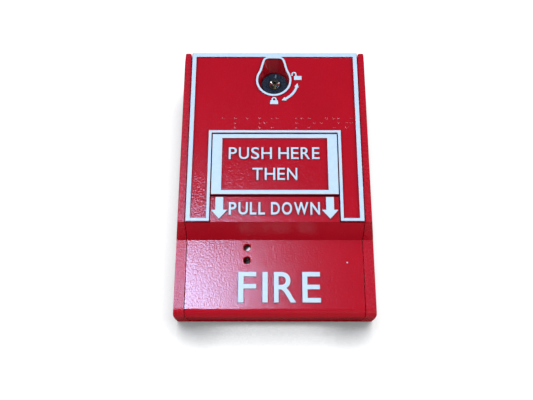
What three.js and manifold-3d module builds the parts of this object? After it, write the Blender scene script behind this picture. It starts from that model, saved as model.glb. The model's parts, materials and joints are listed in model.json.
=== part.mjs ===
// Wall-mounted dual-action manual call point with a key lock.
//
// Units are millimetres. +Z is up, the front faces -Y and the wall is the plane Y = 0.
// The origin is the centre of the back face. The front is in two mouldings, an upper cover
// and a pull handle, and both turn about one hinge line at the foot, between two side rails.

import * as THREE from 'three';
import { ConvexGeometry } from 'three/addons/geometries/ConvexGeometry.js';
import { mergeVertices } from 'three/addons/utils/BufferGeometryUtils.js';
import Module from 'manifold-3d';

const wasm = await Module();
wasm.setup();

// ---------------------------------------------------------------- driving dimensions

const HEIGHT = 130.2;
const TOP = HEIGHT / 2;
const BOTTOM = -HEIGHT / 2;
const UPPER_FACE = -32; // Y of the upper front
const LOWER_FACE = -21.7; // Y of the recessed lower front
const LIP_TOP = -23.1; // Z where the sloping lip leaves the upper front
const LIP_FOOT = -29.2; // Z where the lip meets the lower front
const FOOT_RADIUS = 3.8; // rounding between the lower front and the underside

const SKIN = 2.2; // wall thickness of the red mouldings
const GAP = 0.3; // clearance between pieces that touch
const SEAM = 0.3; // visible gap between the front and the rails

const SIDE_AT_WALL = 48.3; // half width at the wall
const SIDE_CURVE = 0.00334; // the sides bow inwards by this times the square of the depth
const OUTER_FOOT_CORNER = 1.2; // rounding of the housing's lower corners
const OUTER_TOP_CORNER = 0.8; // rounding of the housing's upper corners

const FRONT_HALF_WIDTH = 41.55;
const RAIL_INNER = FRONT_HALF_WIDTH + SEAM;
const BACK_PLATE = 2; // thickness of the housing's back
const FLANGE_REAR = -7; // Y of the rear edge of the cover's and the handle's flanges
const LEDGE_FRONT = -6.6; // Y of the front of the housing's top ledge
const PLATE_FOOT = -61.3; // the back thins out below here, so that the open front can swing past
const PLATE_SKIRT = 0.8; // thickness of the back below that

const HINGE_Y = -9;
const HINGE_Z = -59.5;
const HINGE_PIN_RADIUS = 1.5;
const EAR_RADIUS = 3.1;

const OPENING_HALF_WIDTH = 30.4; // cut-out in the cover for the push plate and the handle's tab
const OPENING_TOP = 21.2;
const PLATE_HALF_WIDTH = 30.05;
const PLATE_TOP = 20.78;
const PLATE_BOTTOM = -9.94;
const TAB_TOP = -10.9;
const COVER_FOOT = LIP_TOP + 0.15;
const HANDLE_SHOULDER = LIP_TOP - 0.2;

const PIVOT_Y = -27.6; // axis of the push plate
const PIVOT_Z = 18.6;
const PIVOT_PIN_RADIUS = 1;

const LOCK_Z = 49.9;
const LOCK_FACE = -27.8; // Y of the lock's face
const POCKET_FLOOR = -26.6; // Y of the floor of the key pocket
const POCKET_FLOOR_RADIUS = 7;
const POCKET_X = -0.45; // the pocket's mouth sits a little to the left of the lock
const POCKET_RADIUS = 8.8; // round part of the pocket's rim
const POCKET_RIM = 1.05; // width of the rim
const POCKET_TOP = 63.1;
const POCKET_FLANK = 8.25; // distance of the arch's straight sides from the round part's centre
const POCKET_TAPER = THREE.MathUtils.degToRad(15);
const POCKET_CORNER = 3.4; // rounding of the arch's upper corners
const POCKET_FILLET = 8; // between the arch and the circle

const GANG_BOX_PITCH = 83.3; // spacing of the two screws of a single electrical box

const LED_X = -13.1;
const LED_HEIGHTS = [-32.8, -38.9];

const BOARD_BACK = -4.3;
const BOARD_FRONT = -5.9;
const BOARD_SCREWS = [[-29.5, -9.5], [29.5, -9.5], [-29.5, -48.5], [29.5, -48.5]];
const ON_BOARD = BOARD_FRONT - GAP; // Y where parts on the board start

const SWITCH_Z = -31; // mid height of the microswitch
const LEAF_FRONT = -17.4; // Y of the front of the switch leaf

const SIDES = [-1, 1]; // left and right

// ---------------------------------------------------------------- materials

function plastic(color, roughness) {
  return new THREE.MeshStandardMaterial({ color, roughness, metalness: 0 });
}

function metal(color, roughness) {
  return new THREE.MeshStandardMaterial({ color, roughness, metalness: 1 });
}

const RED = plastic(0xb41429, 0.4);
const BLACK = plastic(0x1c1c1e, 0.5);
const GREY = plastic(0x55585c, 0.5);
const BOARD_GREEN = plastic(0x1f5a36, 0.45);
const TERMINAL_GREEN = plastic(0x2f7d4a, 0.5);
const CLEAR_LENS = plastic(0xe8f2f5, 0.1);
const GREEN_LENS = plastic(0x1d5f3f, 0.1);
const STEEL = metal(0xb9bcc0, 0.35);
const CHROME = metal(0xd8dadc, 0.15);
const DARK_ZINC = metal(0x2f3a42, 0.4);
const BRASS = metal(0xb59a55, 0.3);

// ---------------------------------------------------------------- geometry helpers

const X_AXIS = new THREE.Vector3(1, 0, 0);
const Y_AXIS = new THREE.Vector3(0, 1, 0);
const Z_AXIS = new THREE.Vector3(0, 0, 1);

function signedVolume(vertices, indices) {
  const [a, b, c] = [new THREE.Vector3(), new THREE.Vector3(), new THREE.Vector3()];
  let volume = 0;
  for (let i = 0; i < indices.length; i += 3) {
    a.fromArray(vertices, 3 * indices[i]);
    b.fromArray(vertices, 3 * indices[i + 1]);
    c.fromArray(vertices, 3 * indices[i + 2]);
    volume += a.dot(b.cross(c)) / 6;
  }
  return volume;
}

// Turns a closed geometry into a solid, with its faces pointing out.
function solid(geometry) {
  const bare = geometry.clone();
  bare.deleteAttribute('normal');
  bare.deleteAttribute('uv');
  const merged = mergeVertices(bare, 1e-5);
  const vertProperties = new Float32Array(merged.attributes.position.array);
  const kept = [];
  for (let i = 0; i < merged.index.count; i += 3) {
    const [a, b, c] = [0, 1, 2].map((k) => merged.index.getX(i + k));
    if (a !== b && b !== c && c !== a) kept.push(a, b, c);
  }
  if (signedVolume(vertProperties, kept) < 0) kept.reverse();
  const triVerts = new Uint32Array(kept);
  return new wasm.Manifold(new wasm.Mesh({ numProp: 3, vertProperties, triVerts }));
}

function geometryOf(body) {
  const mesh = body.getMesh();
  const geometry = new THREE.BufferGeometry();
  geometry.setAttribute('position', new THREE.BufferAttribute(new Float32Array(mesh.vertProperties), 3));
  geometry.setIndex(new THREE.BufferAttribute(new Uint32Array(mesh.triVerts), 1));
  geometry.computeVertexNormals();
  return geometry;
}

function join(bodies) {
  return bodies.reduce((whole, body) => whole.add(body));
}

function cut(body, tools) {
  return tools.reduce((rest, tool) => rest.subtract(tool), body);
}

function block([x0, x1], [y0, y1], [z0, z1]) {
  const box = new THREE.BoxGeometry(x1 - x0, y1 - y0, z1 - z0);
  box.translate((x0 + x1) / 2, (y0 + y1) / 2, (z0 + z1) / 2);
  return solid(box);
}

// The same block on the right (side = 1) or mirrored to the left (side = -1).
function sideBlock(side, [x0, x1], yRange, zRange) {
  return block(side > 0 ? [x0, x1] : [-x1, -x0], yRange, zRange);
}

function extrude(shape, depth, divisions = 6) {
  return new THREE.ExtrudeGeometry(shape, { depth, bevelEnabled: false, curveSegments: divisions });
}

// A shape drawn in (Y, Z), swept along X.
function alongX(shape, [x0, x1], divisions) {
  const geometry = extrude(shape, x1 - x0, divisions);
  geometry.applyMatrix4(new THREE.Matrix4().makeBasis(Y_AXIS, Z_AXIS, X_AXIS));
  geometry.translate(x0, 0, 0);
  return solid(geometry);
}

function sideAlongX(side, shape, [x0, x1], divisions) {
  return alongX(shape, side > 0 ? [x0, x1] : [-x1, -x0], divisions);
}

// A shape drawn in (X, Z), swept along Y.
function alongY(shape, [y0, y1], divisions) {
  const geometry = extrude(shape, y1 - y0, divisions);
  geometry.applyMatrix4(new THREE.Matrix4().makeBasis(X_AXIS, Z_AXIS, Y_AXIS.clone().negate()));
  geometry.translate(0, y1, 0);
  return solid(geometry);
}

function polygon(points) {
  return new THREE.Shape(points.map(([u, v]) => new THREE.Vector2(u, v)));
}

function disc(u, v, radius) {
  const shape = new THREE.Shape();
  shape.absarc(u, v, radius, 0, 2 * Math.PI);
  return shape;
}

// A solid between two outlines with the same number of points, which run anticlockwise as seen
// from the front. The first outline lies at the rear.
function loft(rearOutline, rearY, frontOutline, frontY) {
  const count = rearOutline.length;
  const positions = [];
  rearOutline.forEach((p) => positions.push(p.x, rearY, p.y));
  frontOutline.forEach((p) => positions.push(p.x, frontY, p.y));
  const indices = [];
  for (let i = 0; i < count; i += 1) {
    const next = (i + 1) % count;
    indices.push(i, count + next, count + i, i, next, count + next);
  }
  THREE.ShapeUtils.triangulateShape(rearOutline, []).forEach(([a, b, c]) => indices.push(a, c, b));
  THREE.ShapeUtils.triangulateShape(frontOutline, []).forEach(([a, b, c]) => {
    indices.push(count + a, count + b, count + c);
  });
  const geometry = new THREE.BufferGeometry();
  geometry.setAttribute('position', new THREE.Float32BufferAttribute(positions, 3));
  geometry.setIndex(indices);
  return solid(geometry);
}

function roundedRectangle(halfWidth, low, high, lowRadius, highRadius) {
  const shape = new THREE.Shape();
  shape.absarc(halfWidth - lowRadius, low + lowRadius, lowRadius, -Math.PI / 2, 0);
  shape.absarc(halfWidth - highRadius, high - highRadius, highRadius, 0, Math.PI / 2);
  shape.absarc(-halfWidth + highRadius, high - highRadius, highRadius, Math.PI / 2, Math.PI);
  shape.absarc(-halfWidth + lowRadius, low + lowRadius, lowRadius, Math.PI, 1.5 * Math.PI);
  return shape;
}

function rodAlongX(y, z, radius, xRange, divisions = 9) {
  return alongX(disc(y, z, radius), xRange, divisions);
}

function rodAlongY(x, z, radius, yRange, divisions = 9) {
  return alongY(disc(x, z, radius), yRange, divisions);
}

// A profile of [radius, Y] points turned about the line through (x, z) along Y.
function turned(profile, x, z, segments = 20) {
  const points = profile.map(([radius, y]) => new THREE.Vector2(radius, y));
  const geometry = new THREE.LatheGeometry(points, segments);
  geometry.translate(x, 0, z);
  return solid(geometry);
}

function piece(name, body, material) {
  const geometry = body.isBufferGeometry ? body : geometryOf(body);
  const mesh = new THREE.Mesh(geometry, material);
  mesh.name = name;
  return mesh;
}

// A pan head screw whose head sits on the plane Y = seat, with its shank going into the wall side.
function screw(x, z, seat, { headRadius, headHeight, shankRadius, shankLength, slot }) {
  const crown = seat - headHeight;
  const body = turned([
    [0, crown],
    [0.7 * headRadius, crown],
    [headRadius, crown + 0.45 * headHeight],
    [headRadius, seat],
    [shankRadius, seat],
    [shankRadius, seat + shankLength],
    [0, seat + shankLength],
  ], x, z, 14);
  const depth = [crown - 1, crown + 0.5 * headHeight];
  const long = 0.75 * headRadius;
  const tools = [block([x - long, x + long], depth, [z - slot, z + slot])];
  tools.push(block([x - slot, x + slot], depth, [z - long, z + long]));
  return cut(body, tools);
}

// A coil of round wire about the X axis line through (y, z), with a straight leg at each end.
function torsionSpring({ y, z, coilRadius, wireRadius, turns, x0, pitch, startLeg, endLeg }) {
  const stepsPerTurn = 10;
  const path = [];
  for (let i = 0; i <= turns * stepsPerTurn; i += 1) {
    const angle = (2 * Math.PI * i) / stepsPerTurn;
    const x = x0 + (pitch * i) / stepsPerTurn;
    path.push(new THREE.Vector3(x, y + coilRadius * Math.cos(angle), z + coilRadius * Math.sin(angle)));
  }
  path.unshift(path[0].clone().add(new THREE.Vector3(...startLeg)));
  path.push(path[path.length - 1].clone().add(new THREE.Vector3(...endLeg)));
  const section = disc(0, 0, wireRadius);
  return new THREE.ExtrudeGeometry(section, {
    extrudePath: new THREE.CatmullRomCurve3(path, false, 'centripetal'),
    steps: path.length + 8,
    curveSegments: 3,
    bevelEnabled: false,
  });
}

// ---------------------------------------------------------------- housing

function sideHalfWidth(y) {
  return SIDE_AT_WALL - SIDE_CURVE * y * y;
}

// The whole body with bowed sides and rounded corners, before anything is cut out of it.
function bowedBlock() {
  const slices = 4;
  const points = [];
  for (let i = 0; i <= slices; i += 1) {
    const y = (UPPER_FACE * i) / slices;
    const outline = roundedRectangle(sideHalfWidth(y), BOTTOM, TOP, OUTER_FOOT_CORNER, OUTER_TOP_CORNER);
    outline.getPoints(4).forEach((p) => points.push(new THREE.Vector3(p.x, y, p.y)));
  }
  return solid(new ConvexGeometry(points));
}

// The side view of the rails: upper front, sloping lip, recessed lower front and rounded foot.
function sideProfile() {
  const shape = new THREE.Shape();
  shape.moveTo(0, TOP);
  shape.lineTo(UPPER_FACE, TOP);
  shape.lineTo(UPPER_FACE, LIP_TOP);
  shape.lineTo(LOWER_FACE, LIP_FOOT);
  shape.absarc(LOWER_FACE + FOOT_RADIUS, BOTTOM + FOOT_RADIUS, FOOT_RADIUS, Math.PI, 1.5 * Math.PI);
  shape.lineTo(0, BOTTOM);
  return shape;
}

// What is taken off the inner upper corner of one rail to round it.
function railTopRounding(side) {
  const radius = 1;
  const [x, z] = [side * (RAIL_INNER + radius), TOP - radius];
  const corner = sideBlock(side, [RAIL_INNER - 1, RAIL_INNER + radius], [-34, LEDGE_FRONT - GAP], [z, TOP + 1]);
  return corner.subtract(rodAlongY(x, z, radius, [-35, 0]));
}

// Hollows in the back of one rail, with ribs between them.
function railCores(side) {
  const count = 4;
  const rib = 2;
  const [low, high] = [BOTTOM + 12, TOP - 4];
  const pitch = (high - low + rib) / count;
  return Array.from({ length: count }, (_, i) => {
    const z0 = low + i * pitch;
    return sideBlock(side, [RAIL_INNER + 1.6, SIDE_AT_WALL - 2], [-16, 1], [z0, z0 + pitch - rib]);
  });
}

function screwSlot(z) {
  const [reach, radius] = [1.6, 2.2];
  const shape = new THREE.Shape();
  shape.absarc(reach, z, radius, -Math.PI / 2, Math.PI / 2);
  shape.absarc(-reach, z, radius, Math.PI / 2, 1.5 * Math.PI);
  return alongY(shape, [-BACK_PLATE - 1, 1]);
}

function housing() {
  const shell = bowedBlock().intersect(alongX(sideProfile(), [-60, 60]));
  const bay = block([-RAIL_INNER, RAIL_INNER], [-60, -BACK_PLATE], [-80, 80]);
  const additions = [
    block([-RAIL_INNER - 1, RAIL_INNER + 1], [LEDGE_FRONT, -1], [TOP - SKIN, TOP]),
    block([-9, 9], [-5, -1], [49.5, 59]),
  ];
  BOARD_SCREWS.forEach(([x, z]) => additions.push(rodAlongY(x, z, 3, [BOARD_BACK + GAP, -1])));
  const tools = [
    alongY(roundedRectangle(16, 7, 33, 3, 3), [-BACK_PLATE - 1, 1]),
    screwSlot(GANG_BOX_PITCH / 2),
    screwSlot(-GANG_BOX_PITCH / 2),
    block([-RAIL_INNER, RAIL_INNER], [-BACK_PLATE - 1, -PLATE_SKIRT], [BOTTOM - 1, PLATE_FOOT]),
  ];
  BOARD_SCREWS.forEach(([x, z]) => tools.push(rodAlongY(x, z, 1.4, [-6, -0.6], 6)));
  KEEPER_SCREWS.forEach(([x, z]) => tools.push(rodAlongY(x, z, 1.4, [-7, -0.6], 6)));
  SIDES.forEach((side) => {
    const pinHole = side > 0 ? [40, 45.5] : [-45.5, -40];
    tools.push(rodAlongX(HINGE_Y, HINGE_Z, HINGE_PIN_RADIUS + GAP, pinHole));
    tools.push(railTopRounding(side), ...railCores(side));
  });
  return cut(join([shell.subtract(bay), ...additions]), tools);
}

// ---------------------------------------------------------------- upper cover

// The mouth of the key pocket: a circle about the lock with a narrower arch on top. A fillet on
// each side blends the arch's tapered sides into the circle.
function pocketMouth(inset) {
  const reach = POCKET_FLANK + POCKET_FILLET;
  const tilt = POCKET_TAPER + Math.acos(reach / (POCKET_RADIUS + POCKET_FILLET));
  const filletX = (POCKET_RADIUS + POCKET_FILLET) * Math.cos(tilt);
  const filletZ = LOCK_Z + (POCKET_RADIUS + POCKET_FILLET) * Math.sin(tilt);
  const cornerZ = POCKET_TOP - POCKET_CORNER;
  const rise = cornerZ - LOCK_Z;
  const cornerX = (POCKET_FLANK - POCKET_CORNER - rise * Math.sin(POCKET_TAPER)) / Math.cos(POCKET_TAPER);
  const shape = new THREE.Shape();
  shape.absarc(POCKET_X, LOCK_Z, POCKET_RADIUS - inset, -Math.PI / 2, tilt);
  shape.absarc(POCKET_X + filletX, filletZ, POCKET_FILLET + inset, Math.PI + tilt, Math.PI + POCKET_TAPER, true);
  shape.absarc(POCKET_X + cornerX, cornerZ, POCKET_CORNER - inset, POCKET_TAPER, Math.PI / 2);
  shape.absarc(POCKET_X - cornerX, cornerZ, POCKET_CORNER - inset, Math.PI / 2, Math.PI - POCKET_TAPER);
  shape.absarc(POCKET_X - filletX, filletZ, POCKET_FILLET + inset, -POCKET_TAPER, -tilt, true);
  shape.absarc(POCKET_X, LOCK_Z, POCKET_RADIUS - inset, Math.PI - tilt, 1.5 * Math.PI);
  return shape;
}

// The pocket slopes from its mouth in the front to a round floor that the lock's face fills.
function keyPocket() {
  const mouth = pocketMouth(POCKET_RIM).getPoints(10).slice(0, -1);
  const floor = mouth.map((p) => {
    const angle = Math.atan2(p.y - LOCK_Z, p.x - POCKET_X);
    const [x, z] = [Math.cos(angle), Math.sin(angle)].map((share) => share * POCKET_FLOOR_RADIUS);
    return new THREE.Vector2(x, LOCK_Z + z);
  });
  return loft(floor, POCKET_FLOOR, mouth, UPPER_FACE - 0.01);
}

// The cover's side wall, which runs down behind the handle to an ear on the hinge line.
function coverSide() {
  const armFront = LOWER_FACE + SKIN + GAP;
  const shape = new THREE.Shape();
  shape.moveTo(FLANGE_REAR, TOP);
  shape.lineTo(-30, TOP);
  shape.lineTo(-30, COVER_FOOT);
  shape.lineTo(-28.6, COVER_FOOT);
  shape.lineTo(armFront, -28.5);
  shape.lineTo(armFront, -50);
  shape.absarc(HINGE_Y, HINGE_Z, EAR_RADIUS, Math.PI, 2 * Math.PI);
  shape.lineTo(FLANGE_REAR + 1, -50);
  shape.lineTo(FLANGE_REAR, -46);
  return shape;
}

function frontCover() {
  const skinBack = UPPER_FACE + SKIN;
  const parts = [
    block([-FRONT_HALF_WIDTH, FRONT_HALF_WIDTH], [UPPER_FACE, skinBack], [COVER_FOOT, TOP]),
    block([-FRONT_HALF_WIDTH, FRONT_HALF_WIDTH], [-30, FLANGE_REAR], [TOP - SKIN, TOP]),
    block([-10, 10], [-30, POCKET_FLOOR + 2], [40.5, TOP - 1]),
  ];
  const tools = [
    block([-OPENING_HALF_WIDTH, OPENING_HALF_WIDTH], [-40, -29], [-40, OPENING_TOP]),
    keyPocket(),
    rodAlongY(0, LOCK_Z, 5.5, [-30, -20], 12),
  ];
  SIDES.forEach((side) => {
    parts.push(sideAlongX(side, coverSide(), [FRONT_HALF_WIDTH - 2, FRONT_HALF_WIDTH]));
    parts.push(sideBlock(side, [31.2, 34.6], [-30, -25.2], [16, 21.4]));
    parts.push(sideBlock(side, [33, 34.6], [-30, -27], [COVER_FOOT, 38]));
  });
  tools.push(rodAlongX(PIVOT_Y, PIVOT_Z, PIVOT_PIN_RADIUS + GAP, [-36, 36], 7));
  tools.push(rodAlongX(HINGE_Y, HINGE_Z, HINGE_PIN_RADIUS + GAP, [-50, 50]));
  return cut(join(parts), tools);
}

// ---------------------------------------------------------------- pull handle

// The side view of the lip, the lower panel, the rounded foot and the underside.
function handleProfile() {
  const panelBack = LOWER_FACE + SKIN;
  const footCentre = [LOWER_FACE + FOOT_RADIUS, BOTTOM + FOOT_RADIUS];
  const lipRun = (LOWER_FACE - UPPER_FACE) / (LIP_TOP - LIP_FOOT);
  const shape = new THREE.Shape();
  shape.moveTo(UPPER_FACE + lipRun * (LIP_TOP - HANDLE_SHOULDER), HANDLE_SHOULDER);
  shape.lineTo(LOWER_FACE, LIP_FOOT);
  shape.absarc(...footCentre, FOOT_RADIUS, Math.PI, 1.5 * Math.PI);
  shape.lineTo(FLANGE_REAR, BOTTOM);
  shape.lineTo(FLANGE_REAR, BOTTOM + SKIN);
  shape.absarc(...footCentre, FOOT_RADIUS - SKIN, 1.5 * Math.PI, Math.PI, true);
  shape.lineTo(panelBack, -28.75);
  shape.lineTo(-28.9, HANDLE_SHOULDER);
  return shape;
}

function tabProfile() {
  const back = UPPER_FACE + 2.3;
  return polygon([
    [UPPER_FACE, TAB_TOP],
    [UPPER_FACE, LIP_TOP],
    [-30.31, -24.1],
    [-28.5, -24.1],
    [-28.5, -23],
    [back, -21.5],
    [back, TAB_TOP - 1.8],
    [-26.8, TAB_TOP - 1.8],
    [-26.8, TAB_TOP],
  ]);
}

// A web from the panel to the hinge line, deepest at the foot.
function handleWeb() {
  return polygon([[-20, -29.5], [-20, -63], [-6.4, -63], [-6.4, -56], [-14, -45], [-17, -29.5]]);
}

function handleEar() {
  return polygon([[-20, -53], [-20, -63], [-6.4, -63], [-6.4, -56]]);
}

function lampHole(z) {
  const [radius, mouth] = [1.65, 2];
  return turned([
    [0, LOWER_FACE - 1],
    [mouth + 1, LOWER_FACE - 1],
    [radius, LOWER_FACE + mouth - radius],
    [radius, -18],
    [0, -18],
  ], LED_X, z, 20);
}

function pullHandle() {
  const parts = [
    alongX(handleProfile(), [-FRONT_HALF_WIDTH, FRONT_HALF_WIDTH], 6),
    alongX(tabProfile(), [-PLATE_HALF_WIDTH, PLATE_HALF_WIDTH]),
    block([26, 29], [-20, LEAF_FRONT - GAP], [SWITCH_Z - 2, SWITCH_Z + 2]),
  ];
  SIDES.forEach((side) => {
    parts.push(sideAlongX(side, handleWeb(), [37.2, 39.2]));
    parts.push(sideAlongX(side, handleEar(), [29.4, 31]));
  });
  const tools = LED_HEIGHTS.map(lampHole);
  tools.push(rodAlongX(HINGE_Y, HINGE_Z, HINGE_PIN_RADIUS + GAP, [-50, 50]));
  return cut(join(parts), tools);
}

// ---------------------------------------------------------------- push plate

function pushPlate() {
  const back = UPPER_FACE + SKIN;
  const rim = 1.6;
  const parts = [
    block([-PLATE_HALF_WIDTH, PLATE_HALF_WIDTH], [UPPER_FACE, back], [PLATE_BOTTOM, PLATE_TOP]),
    block([-PLATE_HALF_WIDTH, PLATE_HALF_WIDTH], [-30, -26.8], [PLATE_BOTTOM, PLATE_BOTTOM + rim]),
  ];
  SIDES.forEach((side) => {
    const knuckle = side > 0 ? [17, 27] : [-27, -17];
    parts.push(sideBlock(side, [PLATE_HALF_WIDTH - rim, PLATE_HALF_WIDTH], [-30, -26.8], [PLATE_BOTTOM, 16]));
    parts.push(sideBlock(side, [PLATE_HALF_WIDTH - 0.5, 32], [-29.4, -27.8], [-8, -4]));
    parts.push(rodAlongX(PIVOT_Y, PIVOT_Z, 1.9, knuckle));
    parts.push(block(knuckle, [-30, PIVOT_Y], [PIVOT_Z - 1.9, PIVOT_Z + 1.4]));
  });
  return cut(join(parts), [rodAlongX(PIVOT_Y, PIVOT_Z, PIVOT_PIN_RADIUS + GAP, [-36, 36], 7)]);
}

function plateSpring() {
  return torsionSpring({
    y: PIVOT_Y, z: PIVOT_Z, coilRadius: 1.65, wireRadius: 0.3, turns: 6.5, x0: -3.2, pitch: 1,
    startLeg: [0, 0, 5.5], endLeg: [0, 0, -10],
  });
}

function handleSpring(side) {
  return torsionSpring({
    y: HINGE_Y, z: HINGE_Z, coilRadius: 2.2, wireRadius: 0.35, turns: 4.25, x0: side * 36.2, pitch: -side,
    startLeg: [0, 0, 9], endLeg: [0, -9, 0],
  });
}

// ---------------------------------------------------------------- lock

function lockBarrel() {
  const rear = -13;
  return turned([
    [3.2, LOCK_FACE],
    [6.1, LOCK_FACE],
    [6.6, LOCK_FACE + 0.4],
    [6.6, POCKET_FLOOR - GAP],
    [5.2, POCKET_FLOOR - GAP],
    [5.2, rear],
    [3.2, rear],
    [3.2, LOCK_FACE],
  ], 0, LOCK_Z, 32);
}

// The key turns the plug, whose face is dished round an upright keyway.
function lockPlug() {
  const crown = LOCK_FACE - 0.2;
  const body = turned([
    [0, crown + 1],
    [1.2, crown + 1],
    [2.5, crown],
    [2.9, crown],
    [2.9, -12.7],
    [0, -12.7],
  ], 0, LOCK_Z, 24);
  const drive = block([-1.9, 1.9], [-13, -11], [LOCK_Z - 1.9, LOCK_Z + 1.9]);
  const keyway = block([-0.6, 0.6], [-30, -19], [LOCK_Z - 2.1, LOCK_Z + 2.1]);
  const tapping = rodAlongY(0, LOCK_Z, 1.2, [-16, -9], 6);
  return cut(body.add(drive), [keyway, tapping]);
}

function lockNut() {
  const hexagon = polygon(Array.from({ length: 6 }, (_, i) => {
    const angle = (Math.PI * i) / 3;
    return [8 * Math.cos(angle), LOCK_Z + 8 * Math.sin(angle)];
  }));
  const front = POCKET_FLOOR + 2 + GAP;
  return alongY(hexagon, [front, front + 2.2]).subtract(rodAlongY(0, LOCK_Z, 5.5, [-30, -10], 12));
}

// A flat arm on the plug's drive, upright when locked. It stops short of the keeper.
function lockCam() {
  const shape = new THREE.Shape();
  const tip = LOCK_Z + 7;
  shape.absarc(0, LOCK_Z, 4.6, Math.PI, 2 * Math.PI);
  shape.absarc(0, tip, 3, 0, Math.PI);
  const arm = alongY(shape, [-12.4, -10.9], 10);
  return arm.subtract(block([-2.2, 2.2], [-20, -5], [LOCK_Z - 2.2, LOCK_Z + 2.2]));
}

function camScrew() {
  const seat = -10.9 + GAP;
  const body = turned([
    [0, -15],
    [0.9, -15],
    [0.9, seat],
    [3, seat],
    [3, seat + 0.8],
    [2.1, seat + 1.5],
    [0, seat + 1.5],
  ], 0, LOCK_Z, 14);
  return body.subtract(block([-2.2, 2.2], [seat + 0.8, seat + 3], [LOCK_Z - 0.35, LOCK_Z + 0.35]));
}

const KEEPER_SCREWS = [[-4.4, 54], [4.4, 54]];

// A bent steel strip on the housing, with a lip in front of the cam's plane.
function lockKeeper() {
  const [foot, strip] = [-5.3, 1.2];
  const roof = 62.5;
  const front = -14.2;
  const strap = polygon([
    [foot, 50.5],
    [foot, roof],
    [front, roof],
    [front, 60.4],
    [front + strip, 60.4],
    [front + strip, roof - strip],
    [foot - strip, roof - strip],
    [foot - strip, 50.5],
  ]);
  const holes = KEEPER_SCREWS.map(([x, z]) => rodAlongY(x, z, 1.6, [-8, -4], 8));
  return cut(alongX(strap, [-8, 8]), holes);
}

// ---------------------------------------------------------------- circuit board and what it carries

function circuitBoard() {
  const outline = roundedRectangle(34, -53, -5, 1.5, 1.5);
  const tools = BOARD_SCREWS.map(([x, z]) => rodAlongY(x, z, 1.6, [-8, -2], 8));
  tools.push(rodAlongY(0, -GANG_BOX_PITCH / 2, 4.5, [-8, -2]));
  return cut(alongY(outline, [BOARD_FRONT, BOARD_BACK], 3), tools);
}

const TERMINAL_XS = [-28.5, -23.5, -18.5, -13.5];
const TERMINAL_Z = -19.5;
const TERMINAL_FRONT = ON_BOARD - 9.2;

function terminalBlock() {
  const body = block([-31, -11], [TERMINAL_FRONT, ON_BOARD], [TERMINAL_Z - 4.5, TERMINAL_Z + 4.5]);
  const tools = TERMINAL_XS.flatMap((x) => [
    rodAlongY(x, TERMINAL_Z, 1.95, [TERMINAL_FRONT - 1, TERMINAL_FRONT + 3], 8),
    block([x - 1.4, x + 1.4], [TERMINAL_FRONT + 4, TERMINAL_FRONT + 7], [TERMINAL_Z, TERMINAL_Z + 6]),
  ]);
  return cut(body, tools);
}

function terminalScrew(x) {
  const [front, back] = [TERMINAL_FRONT + 0.6, TERMINAL_FRONT + 2.6];
  const head = rodAlongY(x, TERMINAL_Z, 1.6, [front, back], 8);
  return head.subtract(block([x - 2, x + 2], [front - 1, front + 0.8], [TERMINAL_Z - 0.3, TERMINAL_Z + 0.3]));
}

function ledSpacer(z) {
  const rear = ON_BOARD;
  const front = ON_BOARD - 7.2;
  return turned([[1, front], [2.3, front], [2.3, rear], [1, rear], [1, front]], LED_X, z, 16);
}

function led(z) {
  const rear = ON_BOARD - 7.5;
  const dome = rear - 4;
  const profile = [[0, rear], [1.9, rear], [1.9, rear - 0.9], [1.5, rear - 0.9]];
  const steps = 4;
  for (let i = 0; i <= steps; i += 1) {
    const angle = (Math.PI / 2) * (i / steps);
    profile.push([1.5 * Math.cos(angle), dome - 1.5 * Math.sin(angle)]);
  }
  profile[profile.length - 1][0] = 0;
  return turned(profile, LED_X, z, 16);
}

function controllerChip() {
  const body = block([0, 10], [ON_BOARD - 1.4, ON_BOARD], [-23.5, -13.5]);
  return body.subtract(rodAlongY(1.6, -15.1, 0.6, [ON_BOARD - 2, ON_BOARD - 1.1], 6));
}

function capacitor() {
  const [x, z] = [21, -17.5];
  const rear = ON_BOARD;
  const front = ON_BOARD - 7;
  return turned([
    [0, front],
    [2.7, front],
    [3, front + 0.4],
    [3, rear - 1.6],
    [2.75, rear - 1.2],
    [3, rear - 0.8],
    [3, rear],
    [0, rear],
  ], x, z, 18);
}

const SWITCH_SPAN = [12, 31.8];
const SWITCH_FRONT = ON_BOARD - 9.9;
const BUTTON_X = 17;

function microswitchCase() {
  const body = block(SWITCH_SPAN, [SWITCH_FRONT, ON_BOARD], [SWITCH_Z - 3.2, SWITCH_Z + 3.2]);
  const wells = [15.2, 28.6].map((x) => block([x - 1, x + 1], [-9.5, -7.5], [SWITCH_Z + 2, SWITCH_Z + 4]));
  const buttonHole = rodAlongY(BUTTON_X, SWITCH_Z, 1.2, [SWITCH_FRONT - 1, SWITCH_FRONT + 1.5], 7);
  return cut(body, [buttonHole, ...wells]);
}

function switchButton() {
  const front = LEAF_FRONT + 0.8;
  return rodAlongY(BUTTON_X, SWITCH_Z, 0.9, [front, front + 1.6], 7);
}

// A flat spring leaf with a rolled tip, hinged at its left end.
function switchLeaf() {
  const shape = new THREE.Shape();
  shape.moveTo(12.2, LEAF_FRONT);
  shape.lineTo(12.2, LEAF_FRONT + 0.5);
  shape.lineTo(29.8, LEAF_FRONT + 0.5);
  shape.absarc(30.2, LEAF_FRONT + 0.25, 0.25, Math.PI / 2, -Math.PI / 2, true);
  const geometry = extrude(shape, 4, 4);
  geometry.translate(0, 0, SWITCH_Z - 2);
  return solid(geometry);
}

// ---------------------------------------------------------------- assembly

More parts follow.
